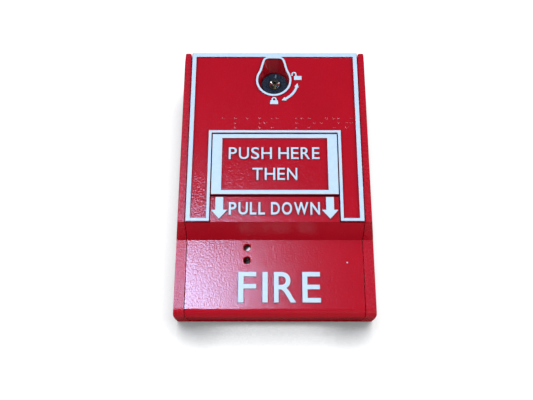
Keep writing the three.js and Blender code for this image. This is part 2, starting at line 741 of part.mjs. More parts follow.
function board() {
  const group = new THREE.Group();
  const boardScrew = { headRadius: 2.6, headHeight: 1.7, shankRadius: 1.1, shankLength: 4.6, slot: 0.35 };
  group.add(piece('circuit_board', circuitBoard(), BOARD_GREEN));
  BOARD_SCREWS.forEach(([x, z], i) => {
    group.add(piece(`board_screw_${i + 1}`, screw(x, z, ON_BOARD, boardScrew), STEEL));
  });
  group.add(piece('terminal_block', terminalBlock(), TERMINAL_GREEN));
  TERMINAL_XS.forEach((x, i) => group.add(piece(`terminal_screw_${i + 1}`, terminalScrew(x), BRASS)));
  group.add(piece('controller_chip', controllerChip(), BLACK));
  group.add(piece('capacitor', capacitor(), GREY));
  group.add(piece('led_spacer_upper', ledSpacer(LED_HEIGHTS[0]), BLACK));
  group.add(piece('led_spacer_lower', ledSpacer(LED_HEIGHTS[1]), BLACK));
  group.add(piece('led_upper', led(LED_HEIGHTS[0]), CLEAR_LENS));
  group.add(piece('led_lower', led(LED_HEIGHTS[1]), GREEN_LENS));
  group.add(piece('microswitch_case', microswitchCase(), BLACK));
  group.add(piece('switch_button', switchButton(), RED));
  group.add(piece('switch_leaf', switchLeaf(), STEEL));
  return group;
}

function lock() {
  const group = new THREE.Group();
  const keeperScrew = { headRadius: 2.4, headHeight: 1.5, shankRadius: 1.1, shankLength: 4.6, slot: 0.35 };
  group.add(piece('lock_barrel', lockBarrel(), DARK_ZINC));
  group.add(piece('lock_plug', lockPlug(), CHROME));
  group.add(piece('lock_nut', lockNut(), STEEL));
  group.add(piece('lock_cam', lockCam(), STEEL));
  group.add(piece('cam_screw', camScrew(), STEEL));
  group.add(piece('lock_keeper', lockKeeper(), STEEL));
  KEEPER_SCREWS.forEach(([x, z], i) => {
    group.add(piece(`keeper_screw_${i + 1}`, screw(x, z, -6.5 - GAP, keeperScrew), STEEL));
  });
  return group;
}

function hinges() {
  const group = new THREE.Group();
  const pin = (xRange) => rodAlongX(HINGE_Y, HINGE_Z, HINGE_PIN_RADIUS, xRange);
  group.add(piece('hinge_pin_left', pin([-45.2, -29]), STEEL));
  group.add(piece('hinge_pin_right', pin([29, 45.2]), STEEL));
  group.add(piece('handle_spring_left', handleSpring(-1), STEEL));
  group.add(piece('handle_spring_right', handleSpring(1), STEEL));
  group.add(piece('plate_pivot_pin', rodAlongX(PIVOT_Y, PIVOT_Z, PIVOT_PIN_RADIUS, [-34, 34], 7), STEEL));
  group.add(piece('plate_spring', plateSpring(), STEEL));
  return group;
}

const callPoint = new THREE.Group();
callPoint.add(piece('housing', housing(), RED));
callPoint.add(piece('front_cover', frontCover(), RED));
callPoint.add(piece('push_plate', pushPlate(), RED));
callPoint.add(piece('pull_handle', pullHandle(), RED));
callPoint.add(lock(), hinges(), board());

export default callPoint;
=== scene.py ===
"""The looks of a wall-mounted manual call point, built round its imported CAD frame.

Lengths in the constants are millimetres in the CAD's own frame: +Z up, the front faces -Y,
the wall is the plane Y = 0 and the origin is the centre of the back.
"""

import json
import math

import bmesh
import bpy
from mathutils import Matrix, Vector

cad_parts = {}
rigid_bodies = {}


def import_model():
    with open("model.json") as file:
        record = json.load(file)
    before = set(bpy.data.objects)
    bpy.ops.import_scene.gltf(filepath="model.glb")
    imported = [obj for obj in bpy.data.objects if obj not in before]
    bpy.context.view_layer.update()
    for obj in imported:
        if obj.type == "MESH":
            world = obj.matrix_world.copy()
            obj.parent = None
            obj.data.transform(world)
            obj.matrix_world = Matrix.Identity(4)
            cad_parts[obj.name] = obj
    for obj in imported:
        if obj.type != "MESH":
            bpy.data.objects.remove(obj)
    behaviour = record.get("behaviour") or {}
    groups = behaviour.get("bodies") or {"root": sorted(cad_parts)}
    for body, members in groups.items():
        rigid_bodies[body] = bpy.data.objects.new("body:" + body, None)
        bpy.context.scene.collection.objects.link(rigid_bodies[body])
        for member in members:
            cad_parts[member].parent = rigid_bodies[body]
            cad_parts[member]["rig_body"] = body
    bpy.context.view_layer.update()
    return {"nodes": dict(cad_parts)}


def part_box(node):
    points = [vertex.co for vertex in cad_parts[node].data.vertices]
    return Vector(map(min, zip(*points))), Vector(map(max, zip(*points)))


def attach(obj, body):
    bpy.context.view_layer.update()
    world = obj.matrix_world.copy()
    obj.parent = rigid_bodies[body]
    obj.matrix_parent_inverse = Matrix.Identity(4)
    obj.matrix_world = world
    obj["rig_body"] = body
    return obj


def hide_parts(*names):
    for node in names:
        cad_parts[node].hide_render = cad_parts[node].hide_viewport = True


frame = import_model()

MM = 0.001

# Camera
CAMERA_PLACE = (-2.0, -298.1, -96.4)
CAMERA_PITCH = 17.5  # degrees, looking up
CAMERA_ROLL = -0.03
CAMERA_LENS = 40.36  # on a 36 mm sensor
CAMERA_SHIFT = -0.0075

# Soft shadow on the backdrop
SHADOW_REACH = 20
SHADOW_BRIGHTNESS = 0.2  # where the shadow is full
SHADOW_FULL = 0.5  # share of the surroundings in sight where the shadow is full
SHADOW_NONE = 0.85  # and where it ends
SHADOW_SIDE = (0.12, -0.3, 0.95)  # leans towards the light, so the shadow falls the other way

# Backdrop and surroundings
BACKDROP_GAP = 0.6  # behind the wall plane
BACKDROP_HALF_WIDTH = 2500
BACKDROP_HEIGHTS = (-2100, 2900)  # off centre, so that the square's diagonal passes above the object
BACKDROP_GREY = 0.12
BACKDROP_IN_GLOSS = 0.05  # how bright the backdrop shows in the plastic's gloss
SURROUNDINGS_LIGHT = 0.06  # how much light they give, as a share of how bright they look

# Rounding and shading of the red mouldings. Angles are degrees.
EDGE_ROUNDING = 0.25
ROUNDED_ABOVE = 35  # edges that bend more than this are rounded
SHARP_ABOVE = 32  # edges that bend more than this are shaded as sharp
SAME_PLANE = 0.4  # faces that bend less than this are joined into one
CLOSE_POINTS = 0.003  # points nearer than this are joined
SHORT_EDGE = 0.06  # edges shorter than this are closed up
FLAT_FACE = 150  # square millimetres; larger faces are shaded flat
CURVED_STRIP = 30  # square millimetres; unless they bend gently into a face larger than this
GENTLE_BEND = 1  # the least bend between two strips of a curved surface

# Raised white trim
TRIM_HEIGHT = 0.7
TRIM_SINK = 0.15  # how far trim reaches into the moulding that it stands on
TRIM_EDGE = 0.1  # rounding of its edges
TRIM_FACING = 0.6  # faces turned to the front by more than this share are white, the rest are sides in painted shade
BORDER_OUTER = 41.3
BORDER_INNER = 39.3
BORDER_TOP = 2.2  # width of the bar along the top
BORDER_FOOT_OUTER = -22.76
BORDER_FOOT_INNER = -21.4
LINE_INNER = 30.45  # half width inside the line round the push plate
LINE_OUTER = 31.85
LINE_TOP_INNER = 21.46
LINE_TOP_OUTER = 22.68
PLATE_HALF_WIDTH = 30.05
PLATE_FRAME_INSET = 0.15
WINDOW_HALF_WIDTH = 25.2
WINDOW_TOP = 18.58
WINDOW_FOOT = -7.75

# Key pocket and its rim
POCKET_X = -0.45
POCKET_RADIUS = 8.8
POCKET_TOP = 63.1
POCKET_FLANK = 8.25  # distance of the arch's straight sides from the round part's centre
POCKET_TAPER = 15  # degrees
POCKET_FILLET = 8
POCKET_CORNER = 3.4
RIM_WIDTH = 1.05
RIM_HEIGHT = TRIM_HEIGHT - 0.03  # just below the border that it meets
POCKET_WALL_START = 0.4  # depth below the front where the pocket's painted shade, a deeper red, starts
POCKET_WALL_END = 0.5  # and how far behind the lock's face it ends

# Symbols round the lock
SYMBOL_ARC_RADIUS = 11.5
SYMBOL_ARC_SPAN = (-73, -8)  # degrees
SYMBOL_ARC_WIDTH = 1.2
CLOSED_PADLOCK = (-0.3, 36.8)
OPEN_PADLOCK = (11.5, 50.1)
SYMBOL_HEIGHT = 0.35

# Arrows beside the handle's words
ARROW_PLACES = (-25.85, 25.65)
ARROW_TOP = -11.2
ARROW_NECK = -17.4
ARROW_TIP = -21.8
ARROW_HALF_SHAFT = 1.85
ARROW_HALF_HEAD = 3.85

PANEL_FACE = -21.7  # Y of the lower panel

# Raised capitals. Widths and gaps are relative to each other, and a word is scaled to fill its place.
FONT_CAPITAL = 0.7  # height of a capital in the font at size 1
LETTER_GAP = 0.17
LETTER_WIDTHS = {
    " ": 0.52,
    "D": 0.77,
    "E": 0.62,
    "F": 0.61,
    "H": 0.86,
    "I": 0.18,
    "L": 0.57,
    "N": 0.83,
    "O": 0.88,
    "P": 0.66,
    "R": 0.75,
    "S": 0.67,
    "T": 0.83,
    "U": 0.82,
    "W": 1.24,
}

# Tactile dots. Each cell lists its raised dots, with 1 to 3 down the left and 4 to 6 down the right.
# The row names such a device in general words.
DOT_PITCH = 2.45
CELL_PITCH = 6.0
DOT_RADIUS = 0.7
DOT_HEIGHT = 0.12
DOTS_LEFT = -25.2
DOTS_TOP = 29.5
DOT_CELLS = ("1", "123", "1", "1235", "134", "", "1234", "135", "24", "1345", "2345")
DOT_SINK = 0.02  # how far the dots reach into the cover

# Wafers in the keyway: foot and head of each above the lock's axis
WAFER_SPANS = ((0.35, 1.35), (-0.65, 0.2), (-1.75, -0.8))
WAFER_HALF_WIDTH = 0.55
WAFER_DEPTHS = (2.0, 3.0)  # of the first wafer's front and back behind the plug's face
WAFER_STEP = 0.3  # by which the next one stands further out

# Index line on the lock's face
INDEX_LINE_SIDES = (0.5, 0.8)
INDEX_LINE_HEIGHTS = (3.4, 5.6)  # above the lock's axis
INDEX_LINE_PROUD = 0.06

# Gate mark on the lower panel, white as a painted glint
GATE_MARK_SIDES = (33.7, 34.3)
GATE_MARK_HEIGHTS = (-40.3, -39.7)

SHALLOW_SINK = 0.1  # how far these small details reach into what they stand on


# ---------------------------------------------------------------- small helpers


def front_of(node):
    """Y of the frontmost point of a CAD node, in millimetres."""
    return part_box(node)[0].y / MM


def middle_of(node):
    low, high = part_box(node)
    return (low + high) / (2 * MM)


def linear(red, green, blue):
    """A colour given as 0 to 255 screen values, as linear values."""
    return tuple(
        (c / 255 / 12.92) if c <= 10 else ((c / 255 + 0.055) / 1.055) ** 2.4 for c in (red, green, blue)
    )


def arc(centre, radius, start, end, steps=12):
    """Points of an arc, with its angles in degrees."""
    angles = [math.radians(start + (end - start) * i / steps) for i in range(steps + 1)]
    return [(centre[0] + radius * math.cos(a), centre[1] + radius * math.sin(a)) for a in angles]


def add_object(name, data, body=None):
    thing = bpy.data.objects.new(name, data)
    bpy.context.scene.collection.objects.link(thing)
    if body:
        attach(thing, body)
    return thing


# ---------------------------------------------------------------- materials


def new_material(name):
    material = bpy.data.materials.new(name)
    material.use_nodes = True
    nodes = material.node_tree.nodes
    return material, material.node_tree, nodes["Principled BSDF"]


def noise(tree, per_mm, detail=3.0, roughness=0.55):
    """Noise fixed to the piece, with about this many features to a millimetre."""
    place = tree.nodes.new("ShaderNodeTexCoord")
    texture = tree.nodes.new("ShaderNodeTexNoise")
    texture.inputs["Scale"].default_value = per_mm / MM
    texture.inputs["Detail"].default_value = detail
    texture.inputs["Roughness"].default_value = roughness
    tree.links.new(place.outputs["Object"], texture.inputs["Vector"])
    return texture.outputs["Fac"]


def spread(tree, source, low, high, start=0.3, end=0.7):
    """Maps values from start to end onto the range low to high, and stops at its ends."""
    ranged = tree.nodes.new("ShaderNodeMapRange")
    ranged.inputs["From Min"].default_value = start
    ranged.inputs["From Max"].default_value = end
    ranged.inputs["To Min"].default_value = low
    ranged.inputs["To Max"].default_value = high
    tree.links.new(source, ranged.inputs["Value"])
    return ranged.outputs["Result"]


def between(tree, factor, first, second):
    """A colour that goes from first to second with the factor."""
    mix = tree.nodes.new("ShaderNodeMix")
    mix.data_type = "RGBA"
    mix.inputs["A"].default_value = (*first, 1)
    mix.inputs["B"].default_value = (*second, 1)
    tree.links.new(factor, mix.inputs["Factor"])
    return mix.outputs["Result"]


def bump(tree, shader, height, depth_mm, strength=1.0, over=None):
    node = tree.nodes.new("ShaderNodeBump")
    node.inputs["Distance"].default_value = depth_mm * MM
    node.inputs["Strength"].default_value = strength
    tree.links.new(height, node.inputs["Height"])
    if over:
        tree.links.new(over, node.inputs["Normal"])
    tree.links.new(node.outputs["Normal"], shader.inputs["Normal"])
    return node.outputs["Normal"]


def darker(colour, share):
    """The colour times a share, which may also be a little above 1."""
    return tuple(c * share for c in colour)


def red_plastic(name, roughness, lightness, sheen=0.8):
    material, tree, shader = new_material(name)
    base = darker(linear(176, 12, 31), lightness)
    patches = spread(tree, noise(tree, 0.05, 2), 0, 1)
    colour = between(tree, patches, darker(base, 0.95), darker(base, 1.04))
    tree.links.new(colour, shader.inputs["Base Color"])
    patchy = spread(tree, noise(tree, 0.6), roughness - 0.02, roughness + 0.02)
    tree.links.new(patchy, shader.inputs["Roughness"])
    shader.inputs["Specular IOR Level"].default_value = sheen
    ripples = bump(tree, shader, noise(tree, 0.09, 1), 0.05, 0.5)
    bump(tree, shader, noise(tree, 1.2, 2), 0.08, 1.0, over=ripples)
    return material


def white_foil():
    material, tree, shader = new_material("white_foil")
    patches = spread(tree, noise(tree, 0.5), 0, 1)
    colour = between(tree, patches, linear(188, 209, 223), linear(196, 216, 230))
    tree.links.new(colour, shader.inputs["Base Color"])
    tree.links.new(spread(tree, noise(tree, 1.2), 0.32, 0.45), shader.inputs["Roughness"])
    bump(tree, shader, noise(tree, 1.8, 2), 0.01, 0.6)
    return material


def plain_plastic(name, colour, roughness):
    material, tree, shader = new_material(name)
    patches = spread(tree, noise(tree, 0.3), 0, 1)
    tree.links.new(between(tree, patches, darker(colour, 0.85), colour), shader.inputs["Base Color"])
    patchy = spread(tree, noise(tree, 1.5), roughness - 0.06, roughness + 0.06)
    tree.links.new(patchy, shader.inputs["Roughness"])
    bump(tree, shader, noise(tree, 3, 2), 0.01, 0.6)
    return material


def worked_metal(name, colour, roughness, scratches=0.4, mottle=0.8, mottle_per_mm=0.4):
    """Metal with fine scratches along one direction, mottled down to a share of its colour."""
    material, tree, shader = new_material(name)
    place = tree.nodes.new("ShaderNodeTexCoord")
    stretch = tree.nodes.new("ShaderNodeMapping")
    stretch.inputs["Scale"].default_value = (0.4, 3.0, 3.0)
    texture = tree.nodes.new("ShaderNodeTexNoise")
    texture.inputs["Scale"].default_value = 2.2 / MM
    tree.links.new(place.outputs["Object"], stretch.inputs["Vector"])
    tree.links.new(stretch.outputs["Vector"], texture.inputs["Vector"])
    lines = texture.outputs["Fac"]
    shader.inputs["Metallic"].default_value = 1
    patches = spread(tree, noise(tree, mottle_per_mm), 0, 1)
    tree.links.new(between(tree, patches, darker(colour, mottle), colour), shader.inputs["Base Color"])
    tree.links.new(spread(tree, lines, roughness * 0.75, roughness * 1.3), shader.inputs["Roughness"])
    bump(tree, shader, lines, 0.006, scratches)
    return material


def lens(name, colour, shade, node, glow):
    """Resin with a painted highlight and glow on its lower right, shading off to the upper left into
    painted shade, tinted as a painted reflection of the red round it.
    """
    material, tree, shader = new_material(name)
    shader.inputs["Roughness"].default_value = 0.06
    place = tree.nodes.new("ShaderNodeTexCoord")
    away = tree.nodes.new("ShaderNodeVectorMath")
    away.operation = "DOT_PRODUCT"
    away.inputs[1].default_value = (0.7, 0, -0.7)
    tree.links.new(place.outputs["Object"], away.inputs[0])
    middle = middle_of(node)
    centre = (middle.x - middle.z) * 0.7 * MM
    painted_highlight = spread(tree, away.outputs["Value"], 0, 1, centre - 0.1 * MM, centre + 0.6 * MM)
    tree.links.new(between(tree, painted_highlight, shade, colour), shader.inputs["Base Color"])
    tree.links.new(spread(tree, painted_highlight, 0.02, glow, 0, 1), shader.inputs["Emission Strength"])
    shader.inputs["Emission Color"].default_value = (*colour, 1)
    return material


def circuit_laminate():
    """Green lacquer over copper tracks."""
    material, tree, shader = new_material("circuit_laminate")
    place = tree.nodes.new("ShaderNodeTexCoord")
    tracks = tree.nodes.new("ShaderNodeTexBrick")
    tracks.inputs["Scale"].default_value = 0.22 / MM
    tracks.inputs["Mortar Size"].default_value = 0.03
    tracks.inputs["Brick Width"].default_value = 1.7
    tracks.inputs["Row Height"].default_value = 0.45
    tracks.inputs["Color1"].default_value = (*linear(20, 84, 44), 1)
    tracks.inputs["Color2"].default_value = (*linear(24, 96, 50), 1)
    tracks.inputs["Mortar"].default_value = (*linear(52, 138, 78), 1)
    turn = tree.nodes.new("ShaderNodeMapping")
    turn.inputs["Rotation"].default_value = (math.radians(90), 0, 0)
    tree.links.new(place.outputs["Object"], turn.inputs["Vector"])
    tree.links.new(turn.outputs["Vector"], tracks.inputs["Vector"])
    tree.links.new(tracks.outputs["Color"], shader.inputs["Base Color"])
    tree.links.new(spread(tree, noise(tree, 0.8), 0.22, 0.34), shader.inputs["Roughness"])
    bump(tree, shader, tracks.outputs["Fac"], 0.02, 0.5)
    return material


RED = red_plastic("red_plastic", 0.15, 1.0)
RED_HOUSING = red_plastic("red_housing", 0.27, 1.02, 0.5)
# A darker red on the pocket's walls, as painted shade.
RED_POCKET_PAINTED_SHADE = red_plastic("red_pocket_painted_shade", 0.24, 0.55, 0.5)
# A little darker than the cover's red, as painted shade on the dots.
RED_DOTS_PAINTED_SHADE = red_plastic("red_dots_painted_shade", 0.25, 0.95)
# A darker red on the sides of raised trim, as painted shade.
RED_SIDES_PAINTED_SHADE = red_plastic("red_trim_sides_painted_shade", 0.3, 0.5)
FOIL = white_foil()
BLACK = plain_plastic("black_plastic", linear(38, 38, 41), 0.5)
SLEEVE = plain_plastic("grey_sleeve", linear(58, 62, 70), 0.4)
TERMINAL = plain_plastic("terminal_plastic", linear(44, 128, 76), 0.45)
STEEL = worked_metal("zinc_plated_steel", linear(196, 198, 202), 0.32)
SPRING = worked_metal("spring_steel", linear(150, 153, 158), 0.28)
CHROME = worked_metal("chrome_plating", linear(224, 224, 222), 0.12, 0.15)
DARK_ZINC = worked_metal("dark_zinc", linear(96, 102, 112), 0.34, 0.7, 0.25, 1.4)
BRASS = worked_metal("brass", linear(184, 163, 112), 0.28)
LAMINATE = circuit_laminate()
# The lenses' second colours are painted shade, tinted as a painted reflection of the red round them,
# and their glow is a painted highlight.
CLEAR_LENS = lens("clear_lens", linear(225, 228, 236), linear(100, 34, 46), "led_upper", 0.9)
GREEN_LENS = lens("green_lens", linear(70, 90, 84), linear(44, 22, 28), "led_lower", 0.3)

NODE_MATERIALS = {
    "housing": RED_HOUSING,
    "front_cover": RED,
    "push_plate": RED,
    "pull_handle": RED,
    "switch_button": RED,
    "circuit_board": LAMINATE,
    "terminal_block": TERMINAL,
    "capacitor": SLEEVE,
    "controller_chip": BLACK,
    "microswitch_case": BLACK,
    "led_spacer_upper": BLACK,
    "led_spacer_lower": BLACK,
    "led_upper": CLEAR_LENS,
    "led_lower": GREEN_LENS,
    "lock_barrel": DARK_ZINC,
    "lock_plug": CHROME,
    "plate_spring": SPRING,
    "handle_spring_left": SPRING,
    "handle_spring_right": SPRING,
}


def paint_nodes():
    """Gives every CAD node its material."""
    for name, node in frame["nodes"].items():
        brass = name.startswith("terminal_screw")
        material = NODE_MATERIALS.get(name, BRASS if brass else STEEL)
        node.data.materials.clear()
        node.data.materials.append(material)


# ---------------------------------------------------------------- mouldings with rounded edges


def is_flat(face):
    """True for a large face that isn't one of the strips of a curved surface."""
    if face.calc_area() < FLAT_FACE * MM * MM:
        return False
    for edge in face.edges:
        bend = edge.calc_face_angle(0)
        sizes = [other.calc_area() for other in edge.link_faces]
        gentle = math.radians(GENTLE_BEND) < bend < math.radians(SHARP_ABOVE)
        if gentle and min(sizes) > CURVED_STRIP * MM * MM:
            return False
    return True


def edges_above(work, angle):
    """The edges between two faces that bend more than this many degrees."""
    return [e for e in work.edges if e.is_manifold and e.calc_face_angle() > math.radians(angle)]


def rounded_copy(node):
    """A copy of a CAD node with whole flat faces and rounded edges, which stands for the node."""
    source = frame["nodes"][node]
    mesh = source.data.copy()
    mesh.name = node + "_moulding"
    if mesh.attributes.get("custom_normal"):
        mesh.attributes.remove(mesh.attributes["custom_normal"])
    work = bmesh.new()
    work.from_mesh(mesh)
    bmesh.ops.remove_doubles(work, verts=work.verts, dist=CLOSE_POINTS * MM)
    plane = math.radians(SAME_PLANE)
    bmesh.ops.dissolve_limit(work, angle_limit=plane, verts=work.verts, edges=work.edges)
    bmesh.ops.dissolve_degenerate(work, dist=SHORT_EDGE * MM, edges=work.edges)
    bmesh.ops.bevel(
        work,
        geom=edges_above(work, ROUNDED_ABOVE),
        offset=EDGE_ROUNDING * MM,
        segments=2,
        profile=0.5,
        affect="EDGES",
        clamp_overlap=True,
    )
    for face in work.faces:
        face.smooth = not is_flat(face)
    bmesh.ops.triangulate(work, faces=[f for f in work.faces if len(f.verts) > 4])
    for edge in work.edges:
        edge.smooth = True
    for edge in edges_above(work, SHARP_ABOVE):
        edge.smooth = False
    work.to_mesh(mesh)
    work.free()
    body = source["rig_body"]
    piece = add_object(node + "_moulding", mesh, body)
    flat = piece.modifiers.new("flat_faces", "WEIGHTED_NORMAL")
    flat.mode = "FACE_AREA"
    flat.weight = 100
    flat.keep_sharp = True
    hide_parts(node)
    return piece


def paint_pocket_shade(cover):
    """Gives the walls of the key pocket a deeper red, as painted shade."""
    mesh = cover.data
    mesh.materials.append(RED_POCKET_PAINTED_SHADE)
    lock_z = middle_of("lock_barrel").z
    front = front_of("front_cover") + POCKET_WALL_START
    floor = front_of("lock_barrel") + POCKET_WALL_END
    for polygon in mesh.polygons:
        x, y, z = polygon.center / MM
        inside = abs(x) < POCKET_RADIUS and lock_z - POCKET_RADIUS < z < POCKET_TOP
        if inside and front < y < floor:
            polygon.material_index = 1


# ---------------------------------------------------------------- raised flat trim


def from_drawing(y):
    """Stands a drawing in X and Y up in the plane at this Y, with its Z towards the front."""
    turn = Matrix(((1, 0, 0), (0, 0, -1), (0, 1, 0))).to_4x4()
    return Matrix.Translation((0, y * MM, 0)) @ turn


def raised_mesh(curve, face, height, name, bolder=0.0):
    """The mesh of a filled curve, standing this high from a face at Y = face."""
    curve.dimensions = "2D"
    curve.fill_mode = "BOTH"
    curve.extrude = (height + TRIM_SINK) / 2 * MM - TRIM_EDGE * MM / 2
    curve.bevel_depth = TRIM_EDGE * MM
    curve.bevel_resolution = 1
    curve.offset = (bolder - TRIM_EDGE) * MM
    holder = bpy.data.objects.new("drawing", curve)
    bpy.context.scene.collection.objects.link(holder)
    bpy.context.view_layer.update()
    mesh = bpy.data.meshes.new_from_object(holder)
    bpy.data.objects.remove(holder)
    mesh.name = name
    top = max(v.co.z for v in mesh.vertices)
    mesh.transform(Matrix.Translation((0, 0, height * MM - top)))
    mesh.transform(from_drawing(face))
    work = bmesh.new()
    work.from_mesh(mesh)
    bmesh.ops.remove_doubles(work, verts=work.verts, dist=0.001 * MM)
    work.to_mesh(mesh)
    work.free()
    return mesh


def colour_raised(mesh):
    """White on the face of raised trim, and dark red down its sides as painted shade."""
    mesh.materials.clear()
    mesh.materials.append(FOIL)
    mesh.materials.append(RED_SIDES_PAINTED_SHADE)
    for polygon in mesh.polygons:
        polygon.material_index = 0 if polygon.normal.y < -TRIM_FACING else 1


def raised_outline(name, loops, face, body, height=TRIM_HEIGHT):
    """One raised piece from closed loops of points in millimetres. A loop inside another is a hole."""
    curve = bpy.data.curves.new(name, "CURVE")
    for loop in loops:
        spline = curve.splines.new("POLY")
        spline.points.add(len(loop) - 1)
        for point, (u, v) in zip(spline.points, loop):
            point.co = (u * MM, v * MM, 0, 1)
        spline.use_cyclic_u = True
    mesh = raised_mesh(curve, face, height, name)
    colour_raised(mesh)
    piece = add_object(name, mesh, body)
    return piece


def rectangle(left, right, low, high):
    return [(left, low), (right, low), (right, high), (left, high)]


def cover_border():
    face = front_of("front_cover")
    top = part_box("front_cover")[1].z / MM
    outer = [
        (-BORDER_OUTER, top),
        (BORDER_OUTER, top),
        (BORDER_OUTER, BORDER_FOOT_OUTER),
        (LINE_INNER, BORDER_FOOT_OUTER),
        (LINE_INNER, LINE_TOP_INNER),
        (-LINE_INNER, LINE_TOP_INNER),
        (-LINE_INNER, BORDER_FOOT_OUTER),
        (-BORDER_OUTER, BORDER_FOOT_OUTER),
    ]
    inner = [
        (-BORDER_INNER, top - BORDER_TOP),
        (BORDER_INNER, top - BORDER_TOP),
        (BORDER_INNER, BORDER_FOOT_INNER),
        (LINE_OUTER, BORDER_FOOT_INNER),
        (LINE_OUTER, LINE_TOP_OUTER),
        (-LINE_OUTER, LINE_TOP_OUTER),
        (-LINE_OUTER, BORDER_FOOT_INNER),
        (-BORDER_INNER, BORDER_FOOT_INNER),
    ]
    return raised_outline("cover_border", [outer, inner], face, "cover")


def plate_frame():
    low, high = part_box("push_plate")
    half = PLATE_HALF_WIDTH - PLATE_FRAME_INSET
    outer = rectangle(-half, half, low.z / MM + PLATE_FRAME_INSET, high.z / MM - PLATE_FRAME_INSET)
    window = rectangle(-WINDOW_HALF_WIDTH, WINDOW_HALF_WIDTH, WINDOW_FOOT, WINDOW_TOP)
    return raised_outline("plate_frame", [outer, window], front_of("push_plate"), "push_plate")


def pocket_outline(inset):
    """A circle about the lock with a narrower arch on top, blended by a fillet on each side."""
    lock_z = middle_of("lock_barrel").z
    taper = math.radians(POCKET_TAPER)
    across = Vector((math.cos(taper), math.sin(taper)))
    along = Vector((-math.sin(taper), math.cos(taper)))
    fillet_out = POCKET_FLANK + POCKET_FILLET
    reach = math.sqrt((POCKET_RADIUS + POCKET_FILLET) ** 2 - fillet_out**2)
    fillet = across * fillet_out + along * reach
    blend = math.degrees(math.atan2(fillet.y, fillet.x))
    corner_z = POCKET_TOP - POCKET_CORNER
    rise = corner_z - lock_z
    corner_x = (POCKET_FLANK - POCKET_CORNER - rise * math.sin(taper)) / math.cos(taper)
    side = arc((fillet.x, lock_z + fillet.y), POCKET_FILLET + inset, 180 + blend, 180 + POCKET_TAPER, 8)
    side += arc((corner_x, corner_z), POCKET_CORNER - inset, POCKET_TAPER, 90, 8)
    other_side = [(-x, z) for x, z in reversed(side)]
    outline = arc((0, lock_z), POCKET_RADIUS - inset, -180 - blend, blend, 48) + side + other_side
    return [(POCKET_X + x, z) for x, z in outline]


def pocket_rim():
    loops = [pocket_outline(0), pocket_outline(RIM_WIDTH)]
    return raised_outline("pocket_rim", loops, front_of("front_cover"), "cover", RIM_HEIGHT)


def closed_padlock():
    x, z = CLOSED_PADLOCK
    half_foot, half_top, body, outer, inner = 2.05, 1.85, 2.1, 1.3, 0.6
    shell = [(x - half_foot, z), (x + half_foot, z), (x + half_top, z + body), (x + outer, z + body)]
    shell += arc((x, z + body + 0.5), outer, 0, 180)
    shell += [(x - outer, z + body), (x - half_top, z + body)]
    hole = [(x - inner, z + body), (x + inner, z + body)]
    hole += arc((x, z + body + 0.5), inner, 0, 180)
    return [shell, hole]


def open_padlock():
    x, z = OPEN_PADLOCK
    half, body, outer, inner = 1.9, 2.2, 1.3, 0.6
    bow = (x - 1.85, z + body + 1.0)
    shell = [(x - half, z), (x + half, z), (x + half, z + body), (bow[0] + outer, z + body)]
    shell += arc(bow, outer, 0, 180)
    shell += [(bow[0] - outer, bow[1] - 0.9), (bow[0] - inner, bow[1] - 0.9)]
    shell += arc(bow, inner, 180, 0)
    shell += [(bow[0] + inner, z + body), (x - half, z + body)]
    return [shell]


def turning_arrow():
    """A two-headed arrow along an arc about the lock."""
    centre = (0, middle_of("lock_barrel").z)
    start, end = SYMBOL_ARC_SPAN
    head, half_head, half = 11, 1.15, SYMBOL_ARC_WIDTH / 2
    inside = SYMBOL_ARC_RADIUS - half
    outside = SYMBOL_ARC_RADIUS + half

    def at(radius, angle):
        return arc(centre, radius, angle, angle, 1)[0]

    points = arc(centre, outside, start + head, end - head)
    points += [at(SYMBOL_ARC_RADIUS + half_head, end - head), at(SYMBOL_ARC_RADIUS, end)]
    points += [at(SYMBOL_ARC_RADIUS - half_head, end - head)]
    points += arc(centre, inside, end - head, start + head)
    points += [at(SYMBOL_ARC_RADIUS - half_head, start + head), at(SYMBOL_ARC_RADIUS, start)]
    points += [at(SYMBOL_ARC_RADIUS + half_head, start + head)]
    return points


def lock_symbols():
    loops = [*closed_padlock(), *open_padlock(), turning_arrow()]
    return raised_outline("lock_symbols", loops, front_of("front_cover"), "cover", SYMBOL_HEIGHT)


def down_arrow(x):
    return [
        (x - ARROW_HALF_SHAFT, ARROW_TOP),
        (x + ARROW_HALF_SHAFT, ARROW_TOP),
        (x + ARROW_HALF_SHAFT, ARROW_NECK),
        (x + ARROW_HALF_HEAD, ARROW_NECK),
        (x, ARROW_TIP),
        (x - ARROW_HALF_HEAD, ARROW_NECK),
        (x - ARROW_HALF_SHAFT, ARROW_NECK),
    ]


def handle_arrows():
    loops = [down_arrow(x) for x in ARROW_PLACES]
    return raised_outline("handle_arrows", loops, front_of("pull_handle"), "handle")


# ---------------------------------------------------------------- raised capitals


def raised_capital(letter, left, width, low, height, bolder):
    """One capital drawn to fill a box in millimetres."""
    curve = bpy.data.curves.new(letter, "FONT")
    curve.body = letter
    curve.size = height * MM / FONT_CAPITAL
    curve.resolution_u = 6
    mesh = raised_mesh(curve, 0, TRIM_HEIGHT, letter, bolder)
    xs = [v.co.x for v in mesh.vertices]
    zs = [v.co.z for v in mesh.vertices]
    stretch_x = width * MM / (max(xs) - min(xs))
    stretch_z = height * MM / (max(zs) - min(zs))
    mesh.transform(Matrix.Diagonal((stretch_x, 1, stretch_z, 1)))
    shift = (left * MM - min(xs) * stretch_x, 0, low * MM - min(zs) * stretch_z)
    mesh.transform(Matrix.Translation(shift))
    return mesh


